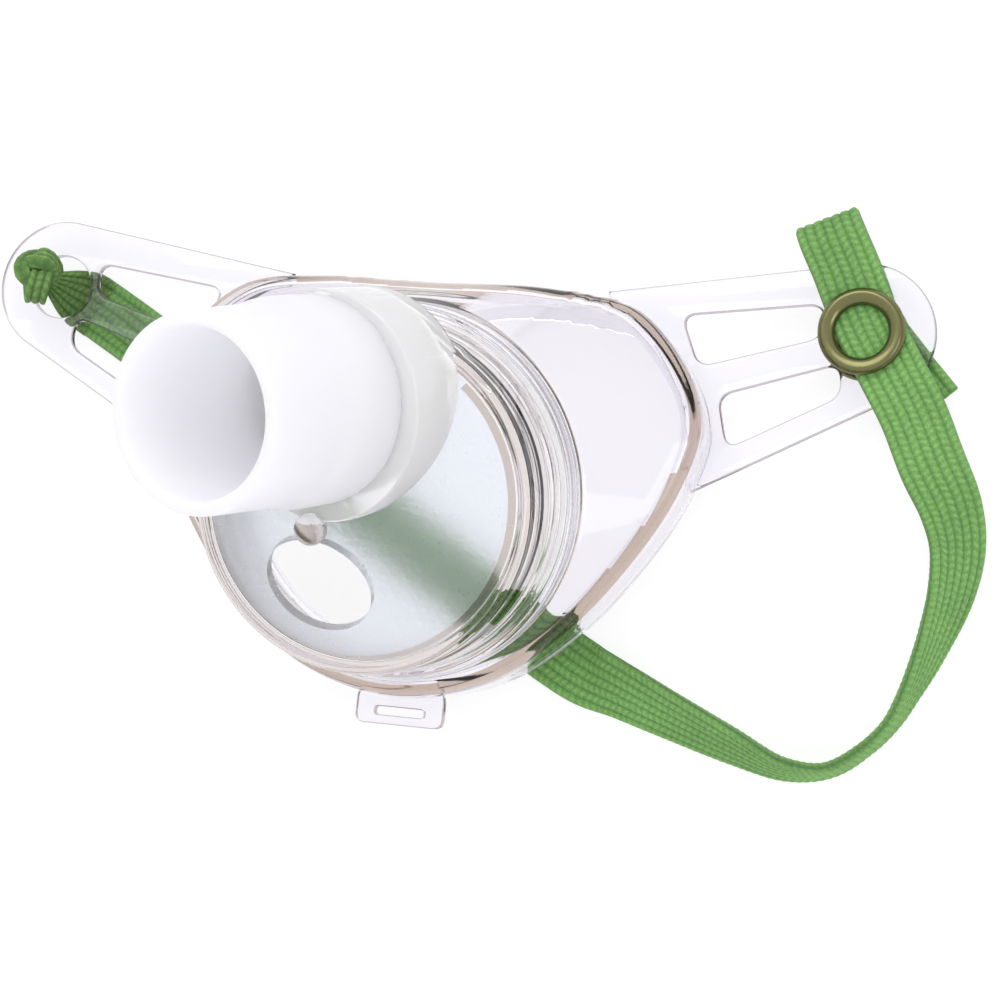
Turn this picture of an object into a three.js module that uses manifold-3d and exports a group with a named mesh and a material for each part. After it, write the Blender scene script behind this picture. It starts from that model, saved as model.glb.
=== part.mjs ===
// A child's tracheostomy mask: a soft clear shell with two slotted wings, a clear turret that
// swivels in the shell's neck, a white 22 mm connector that turns in the turret's collar, and an
// elastic neck strap that is knotted in one wing and pressed to the other by a snap.
//
// Millimetres, +Z up. The mask lies on its rim with its front up: +X runs from wing to wing,
// +Y towards the wearer's chin, and the origin is the middle of the mask's footprint.

import * as THREE from "three";
import { mergeVertices } from "three/addons/utils/BufferGeometryUtils.js";
import Module from "manifold-3d";

const wasm = await Module();
wasm.setup();

// ---- Driving dimensions -------------------------------------------------------------------

const GAP = 0.3; // air between pieces that touch

// shell: a rounded triangle at its shoulder, a tilted round neck on top
const SHOULDER = [[0, 24.1], [14, 24.1], [24.5, 22.6], [31.8, 16.2], [34.9, 9.5], [33.1, 1.4],
  [28.0, -7.9], [20.8, -16.8], [12.0, -23.4], [0, -26.2]]; // right half, from the top down
const SHOULDER_Z = 10.2;
const WALL = 1.9;
const FOOT_WIDTH = 3.0; // the flat that lies on the skin
const NECK = new THREE.Vector3(0, -2.1, 16.2); // middle of the neck's mouth
const NECK_TILT = THREE.MathUtils.degToRad(11); // the turret leans towards -Y
const NECK_RADIUS = 22.4;
const NECK_BORE = 20.8;

// wings and the small lower tab
const WING_Z = 2.6;
const WING_THICK = 1.2;
const WING_TIP = [52.1, 22.3];
const WING_TIP_RADIUS = 8.6;
const WING_TIP_ARC = [-61.5, 98.7]; // degrees, from the lower edge round to the upper
const WING_ROOT_TOP = [20.5, 25.75];
const WING_ROOT_LOW = [24.0, -3.2];
const SNAP_HOLE_RADIUS = 4.0;
const UPPER_SLOT = [[29.9, 23.3], [47.0, 25.6], [47.1, 21.6], [32.5, 17.2]];
const LOWER_SLOT = [[35.3, 13.8], [49.5, 18.5], [50.0, 14.7], [36.9, 7.5]];
const SLOT_CORNER = 1.6;
const TAB = { width: 11.2, depth: 3.3, top: 26.2, z: 3.9, thick: 1.4, slot: [6.2, 1.0] };

// turret, in its own frame: +Z along the neck's axis, z = 0 at the neck's mouth
const SKIRT_RADIUS = NECK_BORE - GAP;
const DOME_EDGE = [19.0, 12.8]; // radius and height where the face meets the side wall
const DOME_RISE = 4.0;
const TURRET_WALL = 1.5;
const PORT = { at: [-3.6, -10.0], long: 6.6, short: 5.0, turn: -0.3, lean: 0.4 };
const COLLAR = { radius: 13.2, low: -7.5, high: 3.0, aside: [0.6, -0.8] };
const LUG = { at: [-4.1, -3.3], rise: 0.8, radius: 1.9 };

// connector, in its own frame: +Z along its axis, z = 0 where the axis meets the turret's face
const CONNECTOR_FOOT = new THREE.Vector3(-3.2, 11.7, 15.0);
const CONNECTOR_END = new THREE.Vector3(-9.9, 10.4, 39.9);
const CONNECTOR = { spigot: 11.0, body: 11.9, tip: 11.0, bore: 9.3, shoulder: 12 };
const COLLAR_BORE = CONNECTOR.spigot + GAP;

// strap: a flat elastic band; each stop is its middle [x, y, z] and its roll in degrees
const STRAP = { width: 8.0, thick: 1.0, step: 3.6 };
const BEHIND = 0.62; // height of its middle where it lies behind the mask
const OVER_WING = 4.6;
const UNDER_WING = 1.7;
const STRAP_STOPS = [
  [-49.0, 20.9, 0.75, 0], [-42.1, 17.0, 0.65, 0], [-22.0, 5.0, BEHIND, 0],
  [-0.3, -8.1, BEHIND, 0], [17.1, -18.5, BEHIND, 0], [21.6, -20.8, 1.15, 8],
  [26.0, -22.3, 2.4, 30], [33.0, -24.9, 3.3, 46], [41.0, -27.8, 3.8, 60],
  [47.7, -29.9, 4.15, 76], [52.8, -29.5, 4.25, 87], [56.7, -26.8, 4.25, 90],
  [59.5, -23.6, 4.25, 90], [61.4, -19.7, 4.25, 85], [63.6, -13.7, 4.2, 72],
  [65.2, -7.4, 4.2, 56], [65.4, -2.0, 4.2, 42], [64.2, 2.4, 4.35, 26],
  [61.7, 7.2, OVER_WING, 8], [58.9, 13.0, OVER_WING, 0], [55.6, 18.4, OVER_WING, 0],
  [52.2, 24.0, OVER_WING, 0], [49.3, 30.0, OVER_WING, 0], [47.2, 34.0, 4.45, 0],
  [46.4, 35.7, 3.15, 0], [47.2, 34.0, 1.85, 0], [49.6, 29.4, UNDER_WING, 0],
  [52.2, 24.0, UNDER_WING, 0], [56.0, 19.2, UNDER_WING, 0], [60.6, 14.2, UNDER_WING, 0],
];
const KNOT = { at: [-54.2, 23.2, 7.0], size: [3.3, 3.9, 2.8], stem: 2.6 };
const ARCHES = [[-32.6, 11.3], [15.6, -17.6]]; // where the strap passes under the rim
const ARCH = { width: 9.4, height: 1.6, length: 13.5 };

// snap that presses the strap to the right wing
const SNAP_RING = { outer: 5.3, inner: 3.1, height: 1.1 };
const SNAP_BACK = { radius: 5.2, height: 0.9 };

// ---- Materials ----------------------------------------------------------------------------

const clearSoft = new THREE.MeshStandardMaterial({ color: 0xe9e6f2, roughness: 0.2, metalness: 0 });
const clearHard = new THREE.MeshStandardMaterial({ color: 0xf0eef6, roughness: 0.1, metalness: 0 });
const whitePlastic = new THREE.MeshStandardMaterial({ color: 0xf6f5f8, roughness: 0.35, metalness: 0 });
const greenElastic = new THREE.MeshStandardMaterial({ color: 0x5da23c, roughness: 0.9, metalness: 0 });
const nickel = new THREE.MeshStandardMaterial({ color: 0xa09a7c, roughness: 0.25, metalness: 1 });

// ---- Solids -------------------------------------------------------------------------------

/** The triangles of an index that still have three corners once vertices are merged. */
function wholeTriangles(index) {
  const kept = [];
  for (let i = 0; i < index.length; i += 3) {
    const [a, b, c] = [index[i], index[i + 1], index[i + 2]];
    if (a !== b && b !== c && c !== a) kept.push(a, b, c);
  }
  return new Uint32Array(kept);
}

/** The geometry with shared vertices merged, as a solid that can be joined and cut. */
function toSolid(geometry) {
  const bare = geometry.index ? geometry : mergeVertices(geometry);
  bare.deleteAttribute("normal");
  bare.deleteAttribute("uv");
  const merged = mergeVertices(bare, 1e-4);
  const vertProperties = new Float32Array(merged.attributes.position.array);
  const triVerts = wholeTriangles(merged.index.array);
  const mesh = new wasm.Mesh({ numProp: 3, vertProperties, triVerts });
  mesh.merge();
  return new wasm.Manifold(mesh);
}

/** A solid's triangles as a geometry for display. */
function toGeometry(solid) {
  const mesh = solid.getMesh();
  const geometry = new THREE.BufferGeometry();
  geometry.setAttribute("position", new THREE.BufferAttribute(mesh.vertProperties.slice(), 3));
  geometry.setIndex(new THREE.BufferAttribute(mesh.triVerts.slice(), 1));
  geometry.computeVertexNormals();
  return geometry;
}

function named(name, geometry, material) {
  const mesh = new THREE.Mesh(geometry, material);
  mesh.name = name;
  return mesh;
}

/** A polygon with every corner rounded by the same radius. */
function roundedPolygon(Kind, corners, radius) {
  const shape = new Kind();
  const points = corners.map(([x, y]) => new THREE.Vector2(x, y));
  points.forEach((corner, i) => {
    const before = points[(i + points.length - 1) % points.length];
    const after = points[(i + 1) % points.length];
    const start = corner.clone().add(before.clone().sub(corner).setLength(radius));
    const end = corner.clone().add(after.clone().sub(corner).setLength(radius));
    if (i === 0) shape.moveTo(start.x, start.y);
    else shape.lineTo(start.x, start.y);
    shape.quadraticCurveTo(corner.x, corner.y, end.x, end.y);
  });
  shape.closePath();
  return shape;
}

/** A plate cut from a flat shape, standing on the plane z. */
function plate(shape, z, thick, curveSegments = 5) {
  return new THREE.ExtrudeGeometry(shape, { depth: thick, bevelEnabled: false, curveSegments })
    .translate(0, 0, z);
}

/** A solid of revolution about +Z from a profile of [radius, height] points, either way round. */
function turned(profile, segments) {
  const points = profile.map(([radius, height]) => new THREE.Vector2(radius, height));
  if (THREE.ShapeUtils.area(points) < 0) points.reverse();
  return new THREE.LatheGeometry(points, segments).rotateX(Math.PI / 2);
}

function cylinder(radius, low, high, segments = 48) {
  return new THREE.CylinderGeometry(radius, radius, high - low, segments)
    .rotateX(Math.PI / 2)
    .translate(0, 0, (low + high) / 2);
}

// ---- Shell --------------------------------------------------------------------------------

/** The shoulder's outline, moved outwards, as points that run anticlockwise. */
function shoulderLoop(count, outwards) {
  const right = SHOULDER.map(([x, y]) => new THREE.Vector3(x, y, 0));
  const left = SHOULDER.slice(1, -1).reverse().map(([x, y]) => new THREE.Vector3(-x, y, 0));
  const loop = new THREE.CatmullRomCurve3([...right, ...left], true, "centripetal");
  return loop.getSpacedPoints(count).slice(0, count).reverse().map((point) => {
    const reach = point.length();
    return new THREE.Vector2(point.x, point.y).multiplyScalar((reach + outwards) / reach);
  });
}

/** A point on the neck's circle at an angle about its tilted axis. */
function neckPoint(angle, radius, height) {
  return new THREE.Vector3(radius * Math.cos(angle), radius * Math.sin(angle), height)
    .applyAxisAngle(new THREE.Vector3(1, 0, 0), NECK_TILT)
    .add(NECK);
}

/** The shell: one closed wall profile carried round from the shoulder's outline to the neck. */
function shellBody() {
  const around = 72;
  const bead = NECK_BORE + 0.9;
  const mouth = 0.6;
  const shoulderTop = SHOULDER_Z + 0.6;
  // blend 0 is on the rim, 1 on the neck; out is measured from the shoulder's outline
  const stations = [
    { blend: 0, out: -0.9, z: 0 }, { blend: 0, out: -0.4, z: 0.5 },
    { blend: 0, out: 0, z: SHOULDER_Z - 2.2 }, { blend: 0, out: -0.5, z: SHOULDER_Z },
    { blend: 0.16, out: -0.9, z: shoulderTop, radius: NECK_RADIUS, height: -1.2 },
    { blend: 1, radius: NECK_RADIUS, height: -1.0 }, { blend: 1, radius: NECK_RADIUS, height: mouth },
    { blend: 1, radius: NECK_BORE, height: mouth }, { blend: 1, radius: NECK_BORE, height: -1.9 },
    { blend: 1, radius: bead, height: -2.6 }, { blend: 1, radius: bead - 0.2, height: -4.0 },
    { blend: 0, out: -WALL - 0.6, z: SHOULDER_Z - 1.0 }, { blend: 0, out: -WALL, z: SHOULDER_Z - 3 },
    { blend: 0, out: -WALL, z: 1.8 }, { blend: 0, out: -0.9 - FOOT_WIDTH, z: 1.3 },
    { blend: 0, out: -0.9 - FOOT_WIDTH, z: 0 },
  ];
  const outline = shoulderLoop(around, 0);
  const profile = [...stations, stations[0]].map((_, i) => new THREE.Vector2(1, i));
  const geometry = new THREE.LatheGeometry(profile, around);
  const position = geometry.attributes.position;
  for (let i = 0; i <= around; i++) {
    const rim = outline[i % around];
    const angle = Math.atan2(rim.y, rim.x);
    for (let j = 0; j < profile.length; j++) {
      const { blend, out = 0, z = 0, radius, height } = stations[j % stations.length];
      const low = rim.clone().multiplyScalar((rim.length() + out) / rim.length());
      const point = new THREE.Vector3(low.x, low.y, z);
      if (blend > 0) point.lerp(neckPoint(angle, radius, height), blend);
      position.setXYZ(i * profile.length + j, point.x, point.y, point.z);
    }
  }
  return geometry;
}

/** A low tunnel under the rim, along the line between the two arches. */
function strapArch([x, y]) {
  const [[x0, y0], [x1, y1]] = ARCHES;
  return toSolid(new THREE.BoxGeometry(ARCH.length, ARCH.width, 2 * ARCH.height)
    .rotateZ(Math.atan2(y1 - y0, x1 - x0)).translate(x, y, 0));
}

function maskShell() {
  const solid = ARCHES.reduce((shell, arch) => shell.subtract(strapArch(arch)), toSolid(shellBody()));
  return named("mask_shell", toGeometry(solid), clearSoft);
}

/** A wing: a flat plate from the shell's wall to a round tip, with two slots and a snap hole. */
function wing(name, side) {
  const [cx, cy] = WING_TIP;
  const shape = new THREE.Shape();
  const [lowAngle, highAngle] = WING_TIP_ARC.map(THREE.MathUtils.degToRad);
  shape.moveTo(...WING_ROOT_TOP);
  shape.lineTo(...WING_ROOT_LOW);
  shape.absarc(cx, cy, WING_TIP_RADIUS, lowAngle, highAngle, false);
  shape.closePath();
  const hole = new THREE.Path();
  hole.absarc(cx, cy, SNAP_HOLE_RADIUS, 0, 2 * Math.PI, true);
  shape.holes.push(hole);
  for (const slot of [UPPER_SLOT, LOWER_SLOT]) {
    shape.holes.push(roundedPolygon(THREE.Path, slot, SLOT_CORNER));
  }
  const root = new THREE.Shape(shoulderLoop(72, GAP));
  const blank = toSolid(plate(shape, WING_Z, WING_THICK, 10));
  const cut = blank.subtract(toSolid(plate(root, WING_Z - 1, WING_THICK + 2)));
  const geometry = toGeometry(side > 0 ? cut : cut.mirror([1, 0, 0]));
  return named(name, geometry, clearSoft);
}

function lowerTab() {
  const { width, depth, top, z, thick, slot } = TAB;
  const [half, low] = [width / 2, -top - depth];
  const corners = [[-half, low], [half, low], [half, -top + 1], [-half, -top + 1]];
  const shape = roundedPolygon(THREE.Shape, corners, 1.0);
  const [a, b, middle] = [slot[0] / 2, slot[1] / 2, low + depth / 2];
  const around = [[-a, middle - b], [-a, middle + b], [a, middle + b], [a, middle - b]];
  shape.holes.push(roundedPolygon(THREE.Path, around, 0.35));
  const root = new THREE.Shape(shoulderLoop(72, GAP));
  const solid = toSolid(plate(shape, z, thick)).subtract(toSolid(plate(root, z - 1, thick + 2)));
  return named("lower_tab", toGeometry(solid), clearSoft);
}

// ---- Turret and connector -----------------------------------------------------------------

/** Height of the turret's domed face at a radius, lowered by the wall for its inner side. */
function domeHeight(radius, lowered = 0) {
  const [edge, height] = DOME_EDGE;
  return height + DOME_RISE * (1 - (radius / edge) ** 2) - lowered;
}

function domeProfile(lowered, edge) {
  return [0, 0.35, 0.6, 0.8, 0.93, 1].map((share) => [share * edge, domeHeight(share * edge, lowered)]);
}

const connectorAxis = CONNECTOR_END.clone().sub(CONNECTOR_FOOT).normalize();
const connectorTurn = new THREE.Quaternion()
  .setFromUnitVectors(new THREE.Vector3(0, 0, 1), connectorAxis);
const connectorLength = CONNECTOR_END.distanceTo(CONNECTOR_FOOT);

function alongConnector(geometry) {
  return toSolid(geometry.applyQuaternion(connectorTurn)
    .translate(CONNECTOR_FOOT.x, CONNECTOR_FOOT.y, CONNECTOR_FOOT.z));
}

/** The round side port, cut square to the face where it stands. */
function portCut() {
  const [x, y] = PORT.at;
  return toSolid(cylinder(1, -8, 8, 28)
    .scale(PORT.long, PORT.short, 1)
    .rotateZ(PORT.turn)
    .rotateX(PORT.lean)
    .translate(x, y, domeHeight(Math.hypot(x, y))));
}

function swivelTurret() {
  const [edge, edgeHeight] = DOME_EDGE;
  const inner = edge - 0.4;
  const skirtInner = SKIRT_RADIUS - TURRET_WALL;
  const outerSkin = turned([...domeProfile(0, edge), [19.6, edgeHeight + 0.1],
    [20.3, edgeHeight - 0.6], [20.9, 2.6], [21.9, 2.4], [21.9, 0.9], [SKIRT_RADIUS, 0.9],
    [SKIRT_RADIUS, -2.3], [21.2, -2.9], [21.2, -3.3], [SKIRT_RADIUS - 0.4, -3.9], [0, -3.9]], 72);
  const cavity = turned([...domeProfile(TURRET_WALL, inner), [inner, edgeHeight - 2.4],
    [skirtInner, 2], [skirtInner, -5], [0, -5]], 72);
  const { radius, low, high, aside } = COLLAR;
  const pocket = low + 1.6;
  const lug = new THREE.SphereGeometry(LUG.radius, 12, 8)
    .translate(...LUG.at, domeHeight(Math.hypot(...LUG.at)) + LUG.rise);
  const solid = toSolid(outerSkin)
    .add(alongConnector(cylinder(radius, low, high, 56).translate(...aside, 0)))
    .add(toSolid(lug))
    .subtract(toSolid(cavity))
    .subtract(alongConnector(cylinder(COLLAR_BORE, pocket, high + 1, 56)))
    .subtract(portCut());
  return named("swivel_turret", toGeometry(solid), clearHard);
}

function tubeConnector() {
  const { spigot, body, tip, bore, shoulder } = CONNECTOR;
  const [low, high] = [COLLAR.low + 1.6 + GAP, COLLAR.high + GAP];
  const end = connectorLength;
  const lip = 0.7;
  const profile = [[bore, low], [spigot, low], [spigot, high], [body, high], [body, shoulder - 1],
    [tip + 0.25, shoulder + 1], [tip, end - lip], [tip - lip, end], [bore + 0.3, end],
    [bore, end - 0.5], [bore, low]];
  return named("tube_connector", turned(profile, 56), whitePlastic);
}

// ---- Strap and snap -----------------------------------------------------------------------

/** A flat band bent along its stops: a straight box whose corners are carried onto the curve. */
function bentBand() {
  const curve = new THREE.CatmullRomCurve3(
    STRAP_STOPS.map(([x, y, z]) => new THREE.Vector3(x, y, z)), false, "centripetal");
  const steps = Math.round(curve.getLength() / STRAP.step);
  const geometry = new THREE.BoxGeometry(1, 1, 1, steps, 1, 1);
  const position = geometry.attributes.position;
  const up = new THREE.Vector3(0, 0, 1);
  const side = new THREE.Vector3(0, 1, 0);
  const frames = [];
  for (let i = 0; i <= steps; i++) {
    const t = curve.getUtoTmapping(i / steps);
    const tangent = curve.getTangent(t);
    const stop = Math.min(t * (STRAP_STOPS.length - 1), STRAP_STOPS.length - 1.001);
    const [a, b] = [STRAP_STOPS[Math.floor(stop)][3], STRAP_STOPS[Math.floor(stop) + 1][3]];
    const roll = THREE.MathUtils.degToRad(THREE.MathUtils.lerp(a, b, stop % 1));
    const level = new THREE.Vector3().crossVectors(up, tangent);
    if (level.dot(side) < 0) level.negate();
    level.normalize();
    side.copy(level);
    const across = level.clone().applyAxisAngle(tangent, roll);
    frames.push({ middle: curve.getPoint(t), across, through: tangent.clone().cross(across) });
  }
  for (let i = 0; i < position.count; i++) {
    const frame = frames[Math.round((position.getX(i) + 0.5) * steps)];
    const point = frame.middle.clone()
      .addScaledVector(frame.across, position.getY(i) * STRAP.width)
      .addScaledVector(frame.through, position.getZ(i) * STRAP.thick);
    position.setXYZ(i, point.x, point.y, point.z);
  }
  return geometry;
}

function strapBand() {
  return named("strap_band", toGeometry(toSolid(bentBand())), greenElastic);
}

/** The strap's knotted end: a lump on the wing with a stem down through the snap hole. */
function strapKnot() {
  const lump = new THREE.SphereGeometry(1, 14, 10).scale(...KNOT.size).translate(...KNOT.at);
  const stem = cylinder(KNOT.stem, UNDER_WING, KNOT.at[2], 14).translate(-WING_TIP[0], WING_TIP[1], 0);
  return named("strap_knot", toGeometry(toSolid(lump).add(toSolid(stem))), greenElastic);
}

function snapRing() {
  const { outer, inner, height } = SNAP_RING;
  const low = OVER_WING + STRAP.thick / 2 + GAP;
  const high = low + height;
  const edge = 0.35;
  const profile = [[inner, low], [outer - edge, low], [outer, low + edge], [outer, high - edge],
    [outer - edge, high], [inner + edge, high], [inner, high - edge], [inner, low]];
  const ring = turned(profile, 32).translate(WING_TIP[0], WING_TIP[1], 0);
  return named("snap_ring", ring, nickel);
}

function snapBack() {
  const { radius, height } = SNAP_BACK;
  return named("snap_back", cylinder(radius, 0, height, 32).translate(...WING_TIP, 0), nickel);
}

// ---- Assembly -----------------------------------------------------------------------------

const mask = new THREE.Group();
mask.add(maskShell(), wing("right_wing", 1), wing("left_wing", -1), lowerTab(), snapRing(), snapBack());

const turret = new THREE.Group();
turret.position.copy(NECK);
turret.rotation.x = NECK_TILT;
turret.add(swivelTurret());
mask.add(turret);

const connector = new THREE.Group();
connector.position.copy(CONNECTOR_FOOT);
connector.quaternion.copy(connectorTurn);
connector.add(tubeConnector());
turret.add(connector);

const footprint = new THREE.Box3().setFromObject(mask, true);
const strap = new THREE.Group();
strap.add(strapBand(), strapKnot());

const assembly = new THREE.Group();
assembly.add(mask, strap);
assembly.position.set(-(footprint.min.x + footprint.max.x) / 2, -(footprint.min.y + footprint.max.y) / 2, 0);

export default assembly;
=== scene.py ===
"""Looks of a child's tracheostomy mask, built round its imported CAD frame.

The mask lies on its rim with its front up. The soft clear moulding, the turret, the hose connector,
the elastic strap and the snap each have a class, which makes the fine mesh that stands for the CAD
nodes and dresses it. Sizes are in millimetres in the maker's own frame and become metres in the
row's frame as a mesh is made.
"""

import logging
import math
from collections.abc import Callable, Sequence
from dataclasses import dataclass, field
from enum import Enum

import bmesh
import bpy
import numpy as np
from mathutils import Matrix, Vector


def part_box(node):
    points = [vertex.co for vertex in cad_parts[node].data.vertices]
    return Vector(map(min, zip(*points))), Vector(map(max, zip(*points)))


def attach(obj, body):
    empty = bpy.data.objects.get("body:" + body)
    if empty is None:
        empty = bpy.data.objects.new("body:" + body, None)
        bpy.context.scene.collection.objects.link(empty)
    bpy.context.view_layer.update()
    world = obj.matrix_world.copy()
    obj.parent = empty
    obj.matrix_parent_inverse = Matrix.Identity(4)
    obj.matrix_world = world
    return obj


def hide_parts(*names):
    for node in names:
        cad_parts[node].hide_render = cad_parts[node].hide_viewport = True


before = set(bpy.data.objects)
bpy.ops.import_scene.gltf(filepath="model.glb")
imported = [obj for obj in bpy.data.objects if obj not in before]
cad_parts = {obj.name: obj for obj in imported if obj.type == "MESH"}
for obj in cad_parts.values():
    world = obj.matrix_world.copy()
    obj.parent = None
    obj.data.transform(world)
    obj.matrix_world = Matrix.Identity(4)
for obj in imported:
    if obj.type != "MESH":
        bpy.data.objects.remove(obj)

LOG = logging.getLogger("tracheostomy_mask")
MM = 0.001
MERGE_DISTANCE = 1e-7  # metres
SHADE_BAND_REACH = 1.5  # how far the painted warm shade band reaches inwards and below the shoulder, in millimetres

# Shared places, in millimetres in the maker's frame
WING_TIP = (52.1, 22.3)
NECK = Vector((0.0, -2.1, 16.2))
NECK_TILT = math.radians(11)
NECK_RADIUS = 22.4
NECK_BORE = 20.8
SEAT_GAP = 0.3  # air between the turret and the neck
CONNECTOR_FOOT = Vector((-3.2, 11.7, 15.0))
CONNECTOR_END = Vector((-9.9, 10.4, 39.9))

Points = np.ndarray


# ---- Frame ---------------------------------------------------------------------------------


def maker_shift() -> Vector:
    """Find where the maker's frame sits in the row's frame.

    Returns:
        The maker's origin, in millimetres: the snap's place tells it.
    """
    low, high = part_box("snap_ring")
    middle = (low + high) / 2 / MM
    return Vector((middle.x - WING_TIP[0], middle.y - WING_TIP[1], 0.0))


SHIFT = maker_shift()
TURRET_PLACE = Matrix.Translation(NECK) @ Matrix.Rotation(NECK_TILT, 4, "X")
CONNECTOR_AXIS = (CONNECTOR_END - CONNECTOR_FOOT).normalized()
CONNECTOR_LENGTH = (CONNECTOR_END - CONNECTOR_FOOT).length
CONNECTOR_TURN = Vector((0, 0, 1)).rotation_difference(CONNECTOR_AXIS).to_matrix().to_4x4()
CONNECTOR_PLACE = Matrix.Translation(CONNECTOR_FOOT) @ CONNECTOR_TURN


def to_row(point: Sequence[float]) -> tuple[float, float, float]:
    """Turn a point in the maker's millimetres into metres in the row's frame."""
    return tuple((Vector(point) + SHIFT) * MM)


# ---- Mesh tools ----------------------------------------------------------------------------


class Join(Enum):
    """How two solids are put together."""

    UNION = "UNION"
    CUT = "DIFFERENCE"


def mesh_object(name: str, points: Points, faces: list, place: Matrix | None = None) -> bpy.types.Object:
    """Make a mesh object from points in millimetres.

    Args:
        name: The piece's name.
        points: An array of points, one row each, in the maker's frame or in the place's.
        faces: The corner indices of each face.
        place: Where the points' own frame sits in the maker's frame.

    Returns:
        The object, in metres in the row's frame, with merged points and outward normals.
    """
    move = place if place is not None else Matrix.Identity(4)
    metres = [to_row(move @ Vector(point)) for point in points.reshape(-1, 3)]
    mesh = bpy.data.meshes.new(name)
    mesh.from_pydata(metres, [], faces)
    solid = bmesh.new()
    solid.from_mesh(mesh)
    bmesh.ops.remove_doubles(solid, verts=solid.verts, dist=MERGE_DISTANCE)
    bmesh.ops.recalc_face_normals(solid, faces=solid.faces)
    solid.to_mesh(mesh)
    solid.free()
    piece = bpy.data.objects.new(name, mesh)
    bpy.context.scene.collection.objects.link(piece)
    return piece


def ring_faces(rings: int, around: int, closed: bool) -> list[tuple[int, ...]]:
    """List the quads between rings of points.

    Args:
        rings: How many rings there are.
        around: How many points each ring has.
        closed: True where the last ring joins the first, False where both ends are capped.

    Returns:
        The faces, as tuples of corner indices.
    """
    faces = []
    for i in range(rings if closed else rings - 1):
        here, there = i * around, ((i + 1) % rings) * around
        for j in range(around):
            k = (j + 1) % around
            faces.append((here + j, here + k, there + k, there + j))
    if not closed:
        faces.append(tuple(reversed(range(around))))
        faces.append(tuple((rings - 1) * around + j for j in range(around)))
    return faces


def rounded(corners: Points, radius: float, steps: int = 4) -> Points:
    """Round every corner of a closed outline.

    Args:
        corners: The corners in order, one row each, in two or three dimensions.
        radius: The longest run-in to a corner, in millimetres.
        steps: How many points each corner becomes.

    Returns:
        The rounded outline, with the same count of points whatever the corners' places.
    """
    before = np.roll(corners, 1, axis=0) - corners
    after = np.roll(corners, -1, axis=0) - corners
    reach_in = np.linalg.norm(before, axis=1, keepdims=True)
    reach_out = np.linalg.norm(after, axis=1, keepdims=True)
    start = corners + before / reach_in * np.minimum(radius, 0.48 * reach_in)
    end = corners + after / reach_out * np.minimum(radius, 0.48 * reach_out)
    share = np.linspace(0, 1, steps)[None, :, None]
    curve = (1 - share) ** 2 * start[:, None] + 2 * share * (1 - share) * corners[:, None]
    curve = curve + share**2 * end[:, None]
    return curve.reshape(-1, corners.shape[1])


def turned(name: str, profile: Sequence[tuple[float, float]], place: Matrix, fillet: float = 0.3,
           segments: int = 160) -> bpy.types.Object:
    """Turn a closed profile about the place's Z axis.

    Args:
        name: The piece's name.
        profile: Radius and height of each corner, as a closed outline clear of the axis or on it.
        place: The frame that the piece stands in.
        fillet: How far each corner is rounded back, in millimetres.
        segments: How many steps go round the axis.

    Returns:
        The turned solid.
    """
    outline = rounded(np.array(profile, float), fillet)
    outline[:, 0] = np.maximum(outline[:, 0], 0.0)
    angles = np.linspace(0, 2 * math.pi, segments, endpoint=False)
    rings = np.stack([
        np.column_stack([outline[:, 0] * math.cos(a), outline[:, 0] * math.sin(a), outline[:, 1]])
        for a in angles
    ])
    return mesh_object(name, rings, ring_faces(segments, len(outline), closed=True), place)


def rod(name: str, radius: float, low: float, high: float, place: Matrix,
        segments: int = 128) -> bpy.types.Object:
    """Make a plain round cutter or boss along the place's Z axis, with sharp ends."""
    angles = np.linspace(0, 2 * math.pi, segments, endpoint=False)
    circle = np.column_stack([radius * np.cos(angles), radius * np.sin(angles)])
    rings = [np.column_stack([circle, np.full(segments, height)]) for height in (low, high)]
    return mesh_object(name, np.stack(rings), ring_faces(2, segments, closed=False), place)


def settle(piece: bpy.types.Object) -> None:
    """Apply every modifier of a piece to its mesh."""
    graph = bpy.context.evaluated_depsgraph_get()
    settled = bpy.data.meshes.new_from_object(piece.evaluated_get(graph))
    piece.modifiers.clear()
    piece.data = settled


def combine(base: bpy.types.Object, other: bpy.types.Object, how: Join) -> bpy.types.Object:
    """Join another solid to a base or cut it away, and drop the other.

    Args:
        base: The solid that stays.
        other: The solid that is joined or cut, which is used up.
        how: Whether to join or to cut.

    Returns:
        The base.
    """
    step = base.modifiers.new(how.name.lower(), "BOOLEAN")
    step.operation = how.value
    step.solver = "EXACT"
    step.object = other
    settle(base)
    bpy.data.objects.remove(other)
    return base


def smooth(piece: bpy.types.Object, angle: float = 32.0) -> None:
    """Shade a piece smooth, with edges sharper than the angle (in degrees) kept crisp."""
    piece.data.shade_smooth()
    piece.data.set_sharp_from_angle(angle=math.radians(angle))


def flat_plate(name: str, outlines: Sequence[Points], low: float, thick: float,
               edge: float) -> bpy.types.Object:
    """Make a flat plate with holes and rounded edges.

    Args:
        name: The piece's name.
        outlines: The outer outline first, then each hole, in the maker's X and Y.
        low: Height of its underside.
        thick: Its thickness.
        edge: Radius of its rounded edges.

    Returns:
        The plate as a mesh object.
    """
    curve = bpy.data.curves.new(name, "CURVE")
    curve.dimensions = "2D"
    curve.fill_mode = "BOTH"
    curve.extrude = thick / 2 - edge
    curve.bevel_depth = edge
    curve.offset = -edge
    curve.bevel_resolution = 4
    for outline in outlines:
        spline = curve.splines.new("POLY")
        spline.points.add(len(outline) - 1)
        for point, (x, y) in zip(spline.points, outline):
            point.co = (x, y, 0, 1)
        spline.use_cyclic_u = True
    holder = bpy.data.objects.new(name, curve)
    bpy.context.scene.collection.objects.link(holder)
    mesh = bpy.data.meshes.new_from_object(holder.evaluated_get(bpy.context.evaluated_depsgraph_get()))
    points = np.array([v.co[:] for v in mesh.vertices]) + (0, 0, low + thick / 2)
    faces = [tuple(face.vertices) for face in mesh.polygons]
    bpy.data.objects.remove(holder)
    return mesh_object(name, points, faces)


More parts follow.
